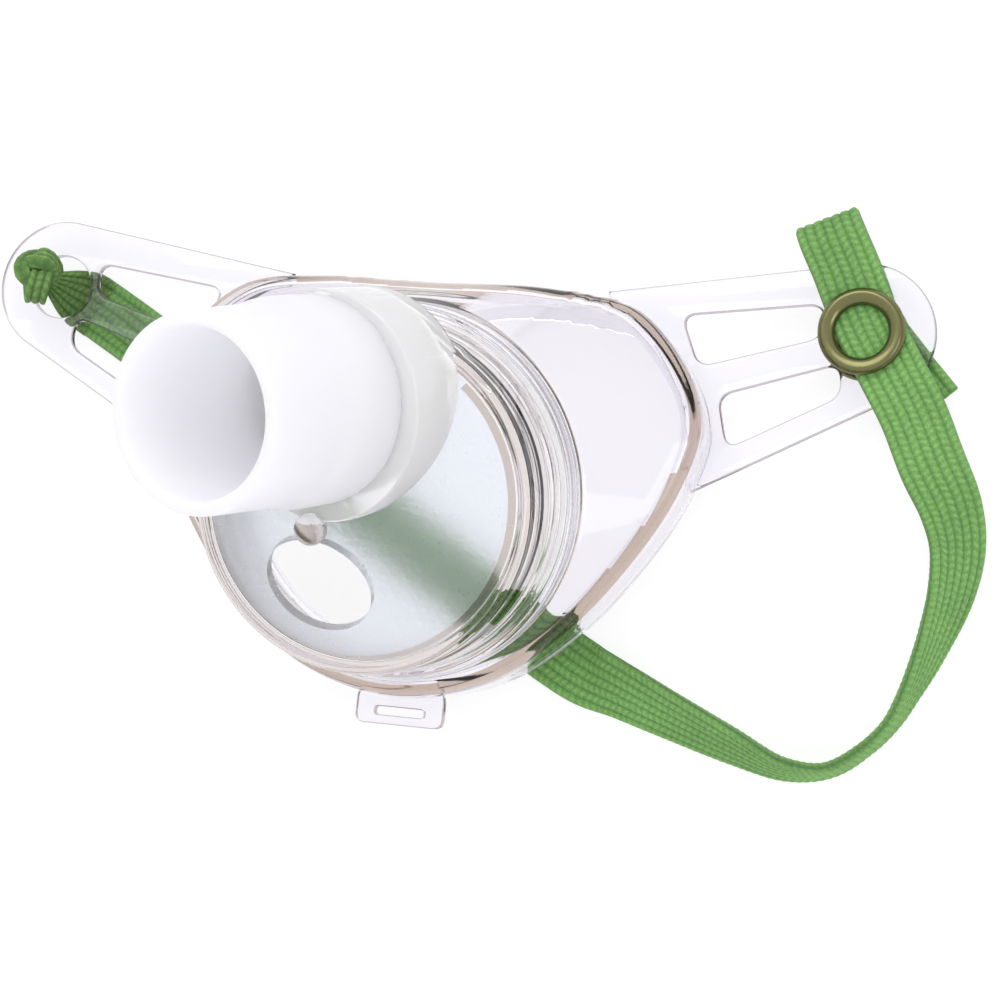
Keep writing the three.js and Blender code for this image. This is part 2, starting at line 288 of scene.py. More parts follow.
def curve_through(stops: Points, step: float) -> tuple[Points, Points]:
    """Run a centripetal spline through stops, with points an even step apart.

    Args:
        stops: The stops, one row each.
        step: The distance between points, in millimetres.

    Returns:
        The points, and for each one its place along the stops as a fractional index.
    """
    ghost_start = 2 * stops[0] - stops[1]
    ghost_end = 2 * stops[-1] - stops[-2]
    line = np.vstack([ghost_start, stops, ghost_end])
    fine, index = [], []
    for i in range(1, len(line) - 2):
        p0, p1, p2, p3 = line[i - 1:i + 3]
        t0 = 0.0
        t1 = math.sqrt(np.linalg.norm(p1 - p0))
        t2 = t1 + math.sqrt(np.linalg.norm(p2 - p1))
        t3 = t2 + math.sqrt(np.linalg.norm(p3 - p2))
        for share in np.linspace(0, 1, 40, endpoint=False):
            t = t1 + share * (t2 - t1)
            a1 = (t1 - t) / (t1 - t0) * p0 + (t - t0) / (t1 - t0) * p1
            a2 = (t2 - t) / (t2 - t1) * p1 + (t - t1) / (t2 - t1) * p2
            a3 = (t3 - t) / (t3 - t2) * p2 + (t - t2) / (t3 - t2) * p3
            b1 = (t2 - t) / (t2 - t0) * a1 + (t - t0) / (t2 - t0) * a2
            b2 = (t3 - t) / (t3 - t1) * a2 + (t - t1) / (t3 - t1) * a3
            fine.append((t2 - t) / (t2 - t1) * b1 + (t - t1) / (t2 - t1) * b2)
            index.append(i - 1 + share)
    fine.append(stops[-1])
    index.append(len(stops) - 1.0)
    fine, index = np.array(fine), np.array(index)
    run = np.concatenate([[0], np.cumsum(np.linalg.norm(np.diff(fine, axis=0), axis=1))])
    even = np.linspace(0, run[-1], int(run[-1] / step) + 1)
    points = np.column_stack([np.interp(even, run, fine[:, k]) for k in range(3)])
    return points, np.interp(even, run, index)


# ---- Finishes ------------------------------------------------------------------------------


def linear(colour: str) -> tuple[float, float, float, float]:
    """Turn an sRGB hex colour into linear red, green, blue and alpha."""
    parts = [int(colour[i:i + 2], 16) / 255 for i in (1, 3, 5)]
    return (*[p / 12.92 if p <= 0.04045 else ((p + 0.055) / 1.055) ** 2.4 for p in parts], 1.0)


def add_node(tree: bpy.types.NodeTree, kind: str, values: dict | None = None, links: dict | None = None,
             **settings: object) -> bpy.types.Node:
    """Add a shader node with its settings and links.

    Args:
        tree: The material's or the world's node tree.
        kind: The node's type, without its ShaderNode prefix.
        values: Constants for its sockets, by name or index.
        links: Outputs that feed its sockets, by name or index.
        settings: Properties of the node itself.

    Returns:
        The node.
    """
    node = tree.nodes.new("ShaderNode" + kind)
    for name, value in settings.items():
        setattr(node, name, value)
    for socket, value in (values or {}).items():
        node.inputs[socket].default_value = value
    for socket, source in (links or {}).items():
        tree.links.new(source, node.inputs[socket])
    return node


@dataclass(frozen=True)
class Finish:
    """A material: what it is, its colour and how its surface was made."""

    name: str
    colour: str
    roughness: float
    ior: float = 1.5

    def tree(self) -> tuple[bpy.types.Material, bpy.types.NodeTree]:
        """Make an empty material and its node tree."""
        material = bpy.data.materials.new(self.name)
        material.use_nodes = True
        material.node_tree.nodes.clear()
        return material, material.node_tree

    def grain(self, tree: bpy.types.NodeTree, size: float, depth: float, detail: float = 2.0) -> tuple:
        """Add an even noise and a bump made from it.

        Args:
            tree: The material's node tree.
            size: The grain's width in millimetres.
            depth: The bump's depth in millimetres.
            detail: How many finer layers the noise has.

        Returns:
            The noise node and the bump node.
        """
        place = add_node(tree, "TexCoord")
        noise = add_node(tree, "TexNoise", {"Scale": 1 / (size * MM), "Detail": detail},
                         {"Vector": place.outputs["Object"]})
        bump = add_node(tree, "Bump", {"Strength": 1.0, "Distance": depth * MM},
                        {"Height": noise.outputs["Fac"]})
        return noise, bump


@dataclass(frozen=True)
class ClearMoulding(Finish):
    """Clear injection-moulded plastic: sharp refraction, warm where light runs far inside it."""

    depth_colour: str = "#c8a888"
    density: float = 30.0
    ripple: float = 6.0
    ripple_depth: float = 0.012
    mist: float = 0.03
    clarity: float = 1.0

    def build(self) -> bpy.types.Material:
        """Make the material."""
        material, tree = self.tree()
        noise, bump = self.grain(tree, self.ripple, self.ripple_depth)
        haze = add_node(tree, "MapRange", {"To Min": self.roughness, "To Max": self.roughness + self.mist},
                        {"Value": noise.outputs["Fac"]})
        shader = add_node(
            tree, "BsdfPrincipled",
            {"Base Color": linear(self.colour), "IOR": self.ior, "Transmission Weight": self.clarity},
            {"Roughness": haze.outputs["Result"], "Normal": bump.outputs["Normal"]})
        depth = add_node(tree, "VolumeAbsorption",
                         {"Color": linear(self.depth_colour), "Density": self.density})
        add_node(tree, "OutputMaterial", links={
            "Surface": shader.outputs["BSDF"], "Volume": depth.outputs["Volume"]})
        return material


@dataclass(frozen=True)
class WhiteStyrene(Finish):
    """White polystyrene, injection moulded: satin, and light goes a little way into it."""

    glow: float = 0.9
    thinness: float = 0.42

    def build(self) -> bpy.types.Material:
        """Make the material."""
        material, tree = self.tree()
        noise, bump = self.grain(tree, 0.35, 0.004, detail=3.0)
        sheen = add_node(tree, "MapRange", {"To Min": self.roughness - 0.05, "To Max": self.roughness + 0.08},
                         {"Value": noise.outputs["Fac"]})
        shader = add_node(
            tree, "BsdfPrincipled",
            {"Base Color": linear(self.colour), "IOR": self.ior, "Subsurface Weight": self.glow,
             "Subsurface Radius": (0.006, 0.006, 0.0065), "Subsurface Scale": 1.0},
            {"Roughness": sheen.outputs["Result"], "Normal": bump.outputs["Normal"]})
        through = add_node(tree, "BsdfTranslucent", {"Color": linear(self.colour)})
        wall = add_node(tree, "MixShader", {"Fac": self.thinness},
                        {1: shader.outputs["BSDF"], 2: through.outputs["BSDF"]})
        add_node(tree, "OutputMaterial", links={"Surface": wall.outputs["Shader"]})
        return material


@dataclass(frozen=True)
class WovenElastic(Finish):
    """Woven elastic tape: dyed polyester over rubber cores, each rib light and its grooves darkened with
    painted shade.
    """

    # Painted shade: the colour laid into the grooves between ribs and between threads
    groove_shade: str = "#47783a"
    thread: float = 0.28
    fuzz: float = 0.35

    def build(self) -> bpy.types.Material:
        """Make the material. The mesh carries a painted shade value that follows the ribs' height, from 0 in
        a groove to 1 on a thread, and blends the thread colour towards the groove shade colour.
        """
        material, tree = self.tree()
        # Painted shade value from the mesh, low in the grooves and 1 on the threads
        height = add_node(tree, "Attribute", attribute_name="weave", attribute_type="GEOMETRY")
        noise, bump = self.grain(tree, self.thread, 0.05, detail=4.0)
        patch = add_node(tree, "TexNoise", {"Scale": 1 / (9 * MM), "Detail": 2.0},
                         {"Vector": add_node(tree, "TexCoord").outputs["Object"]})
        tone = add_node(tree, "Mix", {"A": linear(self.groove_shade), "B": linear(self.colour)},
                        {"Factor": height.outputs["Fac"]}, data_type="RGBA")
        shift = add_node(tree, "MapRange", {"From Min": 0.3, "From Max": 0.7, "To Min": 0.86, "To Max": 1.12},
                         {"Value": patch.outputs["Fac"]})
        speck = add_node(tree, "MapRange", {"From Min": 0.3, "From Max": 0.7, "To Min": 0.8, "To Max": 1.2},
                         {"Value": noise.outputs["Fac"]})
        both = add_node(tree, "Math", links={0: shift.outputs["Result"], 1: speck.outputs["Result"]},
                        operation="MULTIPLY")
        dyed = add_node(tree, "HueSaturation", {"Saturation": 1.0},
                        {"Color": tone.outputs["Result"], "Value": both.outputs["Value"]})
        shader = add_node(
            tree, "BsdfPrincipled",
            {"IOR": self.ior, "Roughness": self.roughness, "Sheen Weight": self.fuzz,
             "Sheen Roughness": 0.4, "Sheen Tint": linear("#b8e0a0")},
            {"Base Color": dyed.outputs["Color"], "Normal": bump.outputs["Normal"]})
        add_node(tree, "OutputMaterial", links={"Surface": shader.outputs["BSDF"]})
        return material


@dataclass(frozen=True)
class NickelPlate(Finish):
    """Nickel-plated brass, pressed: bright, with fine handling scratches."""

    def build(self) -> bpy.types.Material:
        """Make the material."""
        material, tree = self.tree()
        noise, bump = self.grain(tree, 0.6, 0.006, detail=6.0)
        worn = add_node(tree, "MapRange", {"To Min": self.roughness, "To Max": self.roughness + 0.18},
                        {"Value": noise.outputs["Fac"]})
        shader = add_node(
            tree, "BsdfPrincipled", {"Base Color": linear(self.colour), "Metallic": 1.0},
            {"Roughness": worn.outputs["Result"], "Normal": bump.outputs["Normal"]})
        add_node(tree, "OutputMaterial", links={"Surface": shader.outputs["BSDF"]})
        return material


# Flexible PVC: softer surface, slow ripples from the mould, warm edges
SOFT_VINYL = ClearMoulding("clear_soft_vinyl", "#f9f8fe", 0.02, 1.42, density=16.0)
# Painted shade: the same vinyl in a darker grey-violet on the side faces of the flat parts, seen edge on,
# where light leaves sideways and the rim looks smoky
VINYL_EDGE_SHADE = ClearMoulding("clear_soft_vinyl_edge_painted_shade", "#c0b3bd", 0.06, 1.45, density=16.0)
# The shell's shoulder is the thickest vinyl; a darker, warm copy of the vinyl on a band there is painted
# shade that stands in for the warm line seen along it
VINYL_SHOULDER_SHADE = ClearMoulding("clear_soft_vinyl_shoulder_painted_shade", "#c3a896", 0.05, 1.42, density=16.0)
# Crystal polystyrene: harder and brighter
HARD_CLEAR = ClearMoulding("clear_crystal_styrene", "#fdfdff", 0.01, 1.46, density=22.0, ripple=9.0)
# The collar stands round the white spigot, which shows through it and makes it look milky
MILKY_CLEAR = ClearMoulding("milky_styrene_collar", "#ffffff", 0.08, 1.42, density=2.0, ripple=9.0,
                            clarity=0.5)
# The face of that part, where the mould was etched: light scatters and blurs what lies behind
FROSTED_CLEAR = ClearMoulding("etched_crystal_styrene", "#f4f8ff", 0.22, 1.42, density=8.0, ripple=0.7,
                              ripple_depth=0.025, mist=0.16, clarity=0.93)
WHITE = WhiteStyrene("white_moulded_styrene", "#fcfcff", 0.3)
ELASTIC = WovenElastic("green_woven_elastic", "#7cab5e", 0.85)
# Painted shade: the strap's elastic in a darker green, with darker grooves, for the bunched knot
KNOT_ELASTIC_SHADED = WovenElastic("green_woven_elastic_knot_painted_shade", "#6f9450", 0.9, groove_shade="#375a28")
# Painted reflection: the dark olive colour stands in for the dark surroundings mirrored in the snap's flat
# faces
NICKEL_DARK_REFLECTION = NickelPlate("nickel_plated_brass_painted_dark_reflection", "#74734f", 0.15)


# ---- Soft moulding -------------------------------------------------------------------------


@dataclass
class MaskMoulding:
    """The soft clear moulding: shell with a ring neck, two slotted wings and the lower tab."""

    shoulder: Sequence[tuple[float, float]] = (
        (0, 24.9), (14, 25.0), (24.9, 23.3), (32.1, 16.4), (34.9, 9.5), (33.1, 1.4),
        (28.0, -7.9), (20.8, -16.8), (12.0, -23.4), (0, -26.2))
    shoulder_z: float = 10.2
    wall: float = 1.9
    foot: float = 3.0
    around: int = 240
    wing_z: float = 2.6
    wing_thick: float = 1.2
    tip_radius: float = 8.6
    tip_arc: tuple[float, float] = (-61.5, 98.7)
    root_top: tuple[float, float] = (20.5, 25.75)
    root_low: tuple[float, float] = (24.0, -3.2)
    hole_radius: float = 4.0
    slots: Sequence[Sequence[tuple[float, float]]] = (
        ((29.9, 23.3), (47.0, 25.6), (47.1, 21.6), (32.5, 17.2)),
        ((35.3, 13.8), (49.5, 18.5), (50.0, 14.7), (36.9, 7.5)))
    slot_corner: float = 1.8
    arches: Sequence[tuple[float, float]] = ((-32.6, 11.3), (15.6, -17.6))
    arch: tuple[float, float, float] = (13.5, 9.4, 3.2)
    tab: tuple[float, float, float, float, float] = (11.2, 3.3, 26.2, 3.9, 1.4)
    tab_slot: tuple[float, float] = (6.2, 1.0)

    def shoulder_loop(self, outwards: float) -> Points:
        """Give the shoulder's outline moved outwards, anticlockwise, without a repeated end."""
        right = [(x, y, 0.0) for x, y in self.shoulder]
        left = [(-x, y, 0.0) for x, y in self.shoulder[-2:0:-1]]
        stops = np.array(right + left + right[:3])
        lap, _ = curve_through(np.vstack([stops[-4:-3], stops]), 0.1)
        turn = np.unwrap(np.arctan2(lap[:, 1], lap[:, 0]))
        reach = np.hypot(lap[:, 0], lap[:, 1])
        order = np.argsort(turn)
        angles = np.linspace(0, 2 * math.pi, self.around, endpoint=False)
        period = turn[order] % (2 * math.pi)
        ranked = np.argsort(period)
        radius = np.interp(angles, period[ranked], reach[order][ranked], period=2 * math.pi)
        return np.column_stack([np.cos(angles), np.sin(angles)]) * (radius + outwards)[:, None]

    def shell(self) -> bpy.types.Object:
        """Loft the shell's wall from the shoulder's outline up to the neck.

        Returns:
            The closed shell, without wings.
        """
        bead = NECK_BORE + 0.9
        top = self.shoulder_z + 0.6
        inner_foot = -0.9 - self.foot
        # blend, outwards, height on the rim, radius and height on the neck
        stations = (
            (0, -0.9, 0, 0, 0), (0, -0.4, 0.5, 0, 0), (0, 0, self.shoulder_z - 2.2, 0, 0),
            (0, -0.5, self.shoulder_z, 0, 0), (0.16, -0.9, top, NECK_RADIUS, -1.2),
            (1, 0, 0, NECK_RADIUS, -1.0), (1, 0, 0, NECK_RADIUS, 0.6), (1, 0, 0, NECK_BORE, 0.6),
            (1, 0, 0, NECK_BORE, -1.9), (1, 0, 0, bead, -2.6), (1, 0, 0, bead - 0.2, -4.0),
            (0, -self.wall - 0.6, self.shoulder_z - 1.0, 0, 0),
            (0, -self.wall, self.shoulder_z - 3.0, 0, 0), (0, -self.wall, 1.8, 0, 0),
            (0, inner_foot, 1.3, 0, 0), (0, inner_foot, 0, 0, 0))
        rim = self.shoulder_loop(0.0)
        meridians = []
        for x, y in rim:
            angle = math.atan2(y, x)
            reach = math.hypot(x, y)
            corners = []
            for blend, out, z, radius, height in stations:
                low = Vector((x * (reach + out) / reach, y * (reach + out) / reach, z))
                neck = TURRET_PLACE @ Vector((radius * math.cos(angle), radius * math.sin(angle), height))
                corners.append(low.lerp(neck, blend))
            meridians.append(rounded(np.array(corners), 0.9, steps=5))
        return mesh_object("mask_moulding", np.stack(meridians),
                           ring_faces(len(meridians), len(meridians[0]), closed=True))

    def arc(self, centre: Sequence[float], radius: float, start: float, end: float, steps: int) -> Points:
        """Give points along an arc, with angles in degrees."""
        angles = np.radians(np.linspace(start, end, steps))
        return np.column_stack([centre[0] + radius * np.cos(angles), centre[1] + radius * np.sin(angles)])

    def prism(self, name: str, outwards: float) -> bpy.types.Object:
        """Make a tall prism of the shoulder's outline, to trim what meets the wall."""
        loop = self.shoulder_loop(outwards)
        rings = [np.column_stack([loop, np.full(len(loop), z)]) for z in (-1.0, 9.0)]
        return mesh_object(name, np.stack(rings), ring_faces(2, len(loop), closed=False))

    def wing(self, side: int) -> bpy.types.Object:
        """Make one wing, trimmed so that it ends inside the shell's wall.

        Args:
            side: 1 for the snap's wing, -1 for the knot's.

        Returns:
            The wing.
        """
        tip = self.arc(WING_TIP, self.tip_radius, *self.tip_arc, steps=40)
        outer = np.vstack([[self.root_top, self.root_low], tip])
        hole = self.arc(WING_TIP, self.hole_radius, 360, 0, 49)[:-1]
        cuts = [rounded(np.array(slot, float), self.slot_corner, steps=9) for slot in self.slots]
        outlines = [outline * (side, 1) for outline in (outer, hole, *cuts)]
        plate = flat_plate("wing_plate", outlines, self.wing_z, self.wing_thick, 0.42)
        return combine(plate, self.prism("wing_trim", -1.0), Join.CUT)

    def lower_tab(self) -> bpy.types.Object:
        """Make the small slotted tab at the shell's narrow end."""
        width, depth, top, z, thick = self.tab
        half = width / 2
        low = -top - depth
        corners = np.array([(-half, low), (half, low), (half, 1 - top), (-half, 1 - top)], float)
        a, b = self.tab_slot[0] / 2, self.tab_slot[1] / 2
        middle = low + depth / 2
        slot = np.array([(-a, middle - b), (-a, middle + b), (a, middle + b), (a, middle - b)], float)
        outlines = [rounded(corners, 1.2, 7), rounded(slot, 0.4, 5)]
        plate = flat_plate("tab_plate", outlines, z, thick, 0.3)
        return combine(plate, self.prism("tab_trim", -1.0), Join.CUT)

    def strap_arch(self, place: Sequence[float]) -> bpy.types.Object:
        """Make the cutter for a low tunnel under the rim, along the line between the arches."""
        (x0, y0), (x1, y1) = self.arches
        length, width, height = self.arch
        turn = Matrix.Rotation(math.atan2(y1 - y0, x1 - x0), 4, "Z")
        box = rounded(np.array([(-width / 2, -height / 2), (width / 2, -height / 2),
                                (width / 2, height / 2), (-width / 2, height / 2)]), 1.0, 6)
        ends = [np.column_stack([np.full(len(box), x), box]) for x in (-length / 2, length / 2)]
        return mesh_object("arch", np.stack(ends), ring_faces(2, len(box), closed=False),
                           Matrix.Translation((*place, 0)) @ turn)

    def paint_edge_and_shoulder_shade(self, piece: bpy.types.Object) -> None:
        """Paint shade on the rims of the flat parts and on a band along the shell's shoulder, as darker
        copies of the vinyl.
        """
        loop = self.shoulder_loop(0.0)
        angles = np.arctan2(loop[:, 1], loop[:, 0])
        reach = np.hypot(loop[:, 0], loop[:, 1])
        order = np.argsort(angles)
        for face in piece.data.polygons:
            centre = face.center / MM - SHIFT
            turn = math.atan2(centre.y, centre.x)
            rim = np.interp(turn, angles[order], reach[order], period=2 * math.pi)
            out = math.hypot(centre.x, centre.y) - rim
            above = centre.z - self.shoulder_z
            # Side faces beyond the rim get the painted edge shade, faces on the band at the shoulder the
            # painted shoulder shade
            if out > 0.25 and abs(face.normal.z) < 0.8:
                face.material_index = 1
            elif -SHADE_BAND_REACH < out < 0.25 and above > -SHADE_BAND_REACH:
                face.material_index = 2
            else:
                face.material_index = 0

    def build(self) -> bpy.types.Object:
        """Make the moulding as one closed mesh, dress it and set it on the mask.

        Returns:
            The piece.
        """
        piece = self.shell()
        for part in (self.wing(1), self.wing(-1), self.lower_tab()):
            combine(piece, part, Join.UNION)
        for place in self.arches:
            combine(piece, self.strap_arch(place), Join.CUT)
        smooth(piece)
        for finish in (SOFT_VINYL, VINYL_EDGE_SHADE, VINYL_SHOULDER_SHADE):
            piece.data.materials.append(finish.build())
        self.paint_edge_and_shoulder_shade(piece)
        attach(piece, "mask")
        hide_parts("mask_shell", "right_wing", "left_wing", "lower_tab")
        return piece


# ---- Turret --------------------------------------------------------------------------------


@dataclass
class Turret:
    """The hard clear turret: side wall, domed face, off-centre collar, lug and oval port."""

    dome_edge: tuple[float, float] = (19.0, 12.8)
    dome_rise: float = 4.0
    wall: float = 1.5
    skirt: float = NECK_BORE - SEAT_GAP
    port_at: tuple[float, float] = (-3.6, -10.0)
    port_size: tuple[float, float] = (6.6, 5.0)
    port_turn: float = -0.3
    port_lean: float = 0.4
    collar_radius: float = 13.2
    collar_bore: float = 11.3
    collar_span: tuple[float, float] = (-7.5, 3.0)
    collar_aside: tuple[float, float] = (0.6, -0.8)
    lug_at: tuple[float, float] = (-4.1, -3.3)
    lug_rise: float = 0.8
    lug_radius: float = 1.9

    def dome(self, radius: float, lowered: float = 0.0) -> float:
        """Give the face's height at a radius, lowered by the wall for its inner side."""
        edge, height = self.dome_edge
        return height + self.dome_rise * (1 - (radius / edge) ** 2) - lowered

    def dome_points(self, lowered: float, edge: float) -> list[tuple[float, float]]:
        """Give the face's profile from the axis out to its edge."""
        return [(share * edge, self.dome(share * edge, lowered)) for share in np.linspace(0, 1, 14)]

    def lug(self) -> bpy.types.Object:
        """Make the small round lug that stands on the face beside the collar."""
        height = self.dome(math.hypot(*self.lug_at)) + self.lug_rise
        angles = np.linspace(-math.pi / 2, math.pi / 2, 17)
        profile = [(self.lug_radius * math.cos(a), self.lug_radius * math.sin(a)) for a in angles]
        place = TURRET_PLACE @ Matrix.Translation((*self.lug_at, height))
        return turned("lug", profile, place, fillet=0.05, segments=48)

    def port(self) -> bpy.types.Object:
        """Make the cutter for the oval port, square to the face where it stands."""
        height = self.dome(math.hypot(*self.port_at))
        place = (TURRET_PLACE @ Matrix.Translation((*self.port_at, height))
                 @ Matrix.Rotation(self.port_lean, 4, "X") @ Matrix.Rotation(self.port_turn, 4, "Z")
                 @ Matrix.Diagonal((*self.port_size, 1, 1)))
        return rod("port", 1.0, -8, 8, place)

    def finish(self, piece: bpy.types.Object) -> None:
        """Give the domed face, inside and out, the etched finish, and the collar the milky one."""
        back = TURRET_PLACE.inverted()
        along = CONNECTOR_PLACE.inverted()
        edge = self.dome_edge[0]
        for face in piece.data.polygons:
            centre = back @ (face.center / MM - SHIFT)
            radius = math.hypot(centre.x, centre.y)
            depth = self.dome(radius) - centre.z
            aside = along @ centre - Vector((*self.collar_aside, 0))
            reach = math.hypot(aside.x, aside.y)
            if self.collar_bore - 1.3 < reach < self.collar_radius + 0.1 and depth < self.wall - 0.1:
                face.material_index = 2 if depth < -0.05 or reach < self.collar_bore + 1.3 else 1
            else:
                face.material_index = 1 if radius < edge - 0.8 and -0.4 < depth < self.wall + 0.3 else 0

    def build(self) -> bpy.types.Object:
        """Make the turret as one closed mesh, dress it and set it on its body.

        Returns:
            The piece.
        """
        edge, height = self.dome_edge
        inner = edge - 0.4
        skirt = self.skirt
        outer = [*self.dome_points(0, edge), (19.6, height + 0.1), (20.3, height - 0.6), (20.9, 2.6),
                 (21.9, 2.4), (21.9, 0.9), (skirt, 0.9), (skirt, -2.3), (21.2, -2.9), (21.2, -3.3),
                 (skirt - 0.4, -3.9), (0, -3.9)]
        hollow = [*self.dome_points(self.wall, inner), (inner, height - 2.4),
                  (skirt - self.wall, 2), (skirt - self.wall, -5), (0, -5)]
        piece = turned("clear_turret", outer, TURRET_PLACE, fillet=0.35)
        aside = CONNECTOR_PLACE @ Matrix.Translation((*self.collar_aside, 0))
        low, high = self.collar_span
        collar = turned("collar", [(0, low), (self.collar_radius, low), (self.collar_radius, high),
                                   (0, high)], TURRET_PLACE @ aside, fillet=0.5, segments=144)
        combine(piece, collar, Join.UNION)
        combine(piece, self.lug(), Join.UNION)
        combine(piece, turned("hollow", hollow, TURRET_PLACE, fillet=0.3), Join.CUT)
        bore = rod("bore", self.collar_bore, low + 1.6, high + 1, TURRET_PLACE @ CONNECTOR_PLACE)
        combine(piece, bore, Join.CUT)
        combine(piece, self.port(), Join.CUT)
        smooth(piece)
        for kind in (HARD_CLEAR, FROSTED_CLEAR, MILKY_CLEAR):
            piece.data.materials.append(kind.build())
        self.finish(piece)
        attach(piece, "turret")
        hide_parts("swivel_turret")
        return piece


@dataclass
class HoseConnector:
    """The white connector with a 22 mm male end."""

    spigot: float = 11.32
    body: float = 11.9
    tip: float = 11.0
    bore: float = 9.3
    shoulder: float = 12.0
    seat: tuple[float, float] = (-5.6, 3.3)

    def build(self) -> bpy.types.Object:
        """Turn the connector, dress it and set it on its body.

        Returns:
            The piece.
        """
        low, high = self.seat
        end = CONNECTOR_LENGTH
        profile = [
            (self.bore, low), (self.spigot, low), (self.spigot, high), (self.body, high),
            (self.body, self.shoulder - 1.2), (self.tip + 0.3, self.shoulder + 1.2),
            (self.tip, end - 0.4), (self.tip - 0.4, end), (self.bore + 0.4, end), (self.bore, end - 0.6)]
        piece = turned("hose_connector", profile, TURRET_PLACE @ CONNECTOR_PLACE, fillet=0.7)
        smooth(piece, 50)
        piece.data.materials.append(WHITE.build())
        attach(piece, "connector")
        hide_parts("tube_connector")
        return piece


# ---- Strap ---------------------------------------------------------------------------------


@dataclass
class Weave:
    """The tape's section: lengthwise ribs, each crossed by slanting threads."""

    width: float = 8.0
    thick: float = 0.8
    ribs: int = 7
    rib_height: float = 0.17
    thread_pitch: float = 0.85
    thread_height: float = 0.07
    across: int = 57

    def section(self, run: Points, width: float) -> tuple[Points, Points, Points]:
        """Give the tape's outline at each place along it.

        Args:
            run: Distance along the tape of each section, in millimetres.
            width: The tape's width here, in millimetres.

        Returns:
            Sideways places, heights and painted shade values of the weave (darker in the grooves), each as an
            array of run by outline.
        """
        share = np.linspace(0, 1, self.across)
        rib = np.abs(np.sin(np.pi * self.ribs * share)) ** 0.7
        slant = np.where(np.floor(self.ribs * share * 0.9999) % 2 == 0, 1.0, -1.0)
        phase = 2 * np.pi * (run[:, None] / self.thread_pitch + slant * self.ribs * share * 0.5)
        thread = 0.5 + 0.5 * np.cos(phase)
        edge = np.clip(np.minimum(share, 1 - share) * self.across / 2.5, 0, 1) ** 0.5
        lift = self.rib_height * rib + self.thread_height * thread * rib
        top = (self.thick / 2 + lift) * edge
        # Painted shade: darker in the grooves between ribs and between threads
        value = (0.25 + 0.75 * rib) * (0.55 + 0.45 * thread)
        sideways = np.broadcast_to((share - 0.5) * width, top.shape)
        heights = np.concatenate([top, -top[:, ::-1]], axis=1)
        return np.concatenate([sideways, sideways[:, ::-1]], axis=1), heights, np.concatenate(
            [value, value[:, ::-1]], axis=1)


def sweep_tape(name: str, weave: Weave, centre: Points, across: Points, through: Points,
               width: Callable[[Points], Points] | None = None) -> bpy.types.Object:
    """Carry the tape's section along a line.

    Args:
        name: The piece's name.
        weave: The tape's section.
        centre: The line's points, in millimetres.
        across: A unit vector across the tape at each point.
        through: A unit vector out of the tape's face at each point.
        width: The share of the full width at each share of the line, or None for all of it.

    Returns:
        The tape, with its weave's painted shade value, which follows the ribs' height, stored on the mesh.
    """
    run = np.concatenate([[0], np.cumsum(np.linalg.norm(np.diff(centre, axis=0), axis=1))])
    sideways, heights, value = weave.section(run, weave.width)
    if width is not None:
        sideways = sideways * width(run / run[-1])[:, None]
    points = centre[:, None] + across[:, None] * sideways[..., None] + through[:, None] * heights[..., None]
    rings, around = sideways.shape
    mesh = bpy.data.meshes.new(name)
    mesh.from_pydata([to_row(point) for point in points.reshape(-1, 3)], [],
                     ring_faces(rings, around, closed=False))
    # The weave attribute carries painted shade: low in the grooves, 1 on the threads
    store = mesh.attributes.new("weave", "FLOAT", "POINT")
    store.data.foreach_set("value", value.astype(np.float32).ravel())
    piece = bpy.data.objects.new(name, mesh)
    bpy.context.scene.collection.objects.link(piece)
    piece.data.shade_smooth()
    return piece


# Heights of the middle of the strap, in millimetres
BEHIND = 0.62
OVER_WING = 4.6
UNDER_WING = 1.7


